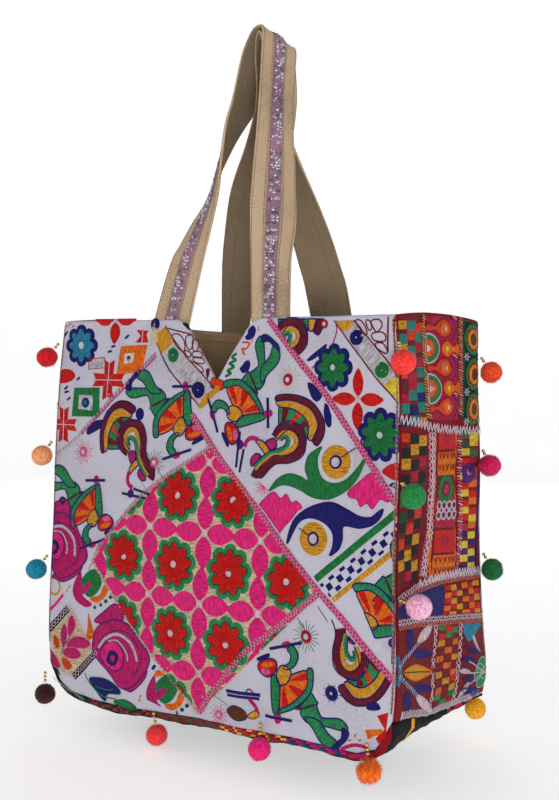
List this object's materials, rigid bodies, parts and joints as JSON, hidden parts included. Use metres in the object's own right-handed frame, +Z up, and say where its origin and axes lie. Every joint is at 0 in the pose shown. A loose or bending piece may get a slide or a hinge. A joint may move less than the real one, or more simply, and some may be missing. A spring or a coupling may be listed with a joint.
{
  "type": "shoulder bag",
  "caption": "Soft patchwork cloth handbag with an open V-notched rim, two canvas shoulder straps with sequin trim, and yarn pompoms on short bead strands along its seams, shown hanging.",
  "frame": {"origin": "the point where the bag hangs: the middle of the inner strap's underside, at the fold over the hook", "axes": "+Z up, -Y out of the front panel, +X to the viewer's right when the front is faced"},
  "size_m": [0.5287, 0.2706, 0.8104],
  "materials": {
    "panel_cloth": "soft embroidered cotton, matte with satin stitches",
    "gusset_cloth": "patchwork of embroidered strips, matte",
    "base_cloth": "dark embroidered cloth, matte",
    "lining_canvas": "plain brown canvas, matte",
    "strap_canvas": "tan canvas, matte",
    "trim_ribbon": "mauve ribbon with small silver sequins, glossy",
    "bead_metal": "small round polished beads",
    "yarn_red": "matte wool yarn",
    "yarn_peach": "matte wool yarn",
    "yarn_teal": "matte wool yarn",
    "yarn_coral": "matte wool yarn",
    "yarn_green": "matte wool yarn",
    "yarn_pink": "matte wool yarn",
    "yarn_orange": "matte wool yarn",
    "yarn_crimson": "matte wool yarn",
    "yarn_dark_green": "matte wool yarn",
    "yarn_maroon": "matte wool yarn",
    "yarn_bright_orange": "matte wool yarn",
    "yarn_yellow": "matte wool yarn",
    "yarn_coral_red": "matte wool yarn",
    "yarn_hot_pink": "matte wool yarn"
  },
  "bodies": {
    "root": {"back_panel": "panel_cloth", "base_panel": "base_cloth", "beads_back_left_1": "bead_metal", "beads_back_left_2": "bead_metal", "beads_back_left_3": "bead_metal", "beads_back_left_corner": "bead_metal", "beads_back_right_1": "bead_metal", "beads_back_right_2": "bead_metal", "beads_back_right_3": "bead_metal", "beads_back_right_corner": "bead_metal", "beads_bottom_back_left": "bead_metal", "beads_bottom_back_right": "bead_metal", "beads_bottom_front_left": "bead_metal", "beads_bottom_front_right": "bead_metal", "beads_front_left_1": "bead_metal", "beads_front_left_2": "bead_metal", "beads_front_left_3": "bead_metal", "beads_front_left_corner": "bead_metal", "beads_front_right_1": "bead_metal", "beads_front_right_2": "bead_metal", "beads_front_right_3": "bead_metal", "beads_front_right_corner": "bead_metal", "front_panel": "panel_cloth", "left_gusset": "gusset_cloth", "lining": "lining_canvas", "pompom_back_left_1": "yarn_red", "pompom_back_left_2": "yarn_peach", "pompom_back_left_3": "yarn_teal", "pompom_back_left_corner": "yarn_yellow", "pompom_back_right_1": "yarn_orange", "pompom_back_right_2": "yarn_crimson", "pompom_back_right_3": "yarn_dark_green", "pompom_back_right_corner": "yarn_yellow", "pompom_bottom_back_left": "yarn_coral_red", "pompom_bottom_back_right": "yarn_hot_pink", "pompom_bottom_front_left": "yarn_coral_red", "pompom_bottom_front_right": "yarn_hot_pink", "pompom_front_left_1": "yarn_red", "pompom_front_left_2": "yarn_peach", "pompom_front_left_3": "yarn_teal", "pompom_front_left_corner": "yarn_maroon", "pompom_front_right_1": "yarn_coral", "pompom_front_right_2": "yarn_green", "pompom_front_right_3": "yarn_pink", "pompom_front_right_corner": "yarn_bright_orange", "right_gusset": "gusset_cloth", "strap_back": "strap_canvas", "strap_front": "strap_canvas", "trim_back": "trim_ribbon", "trim_front": "trim_ribbon"}
  },
  "joints": []
}
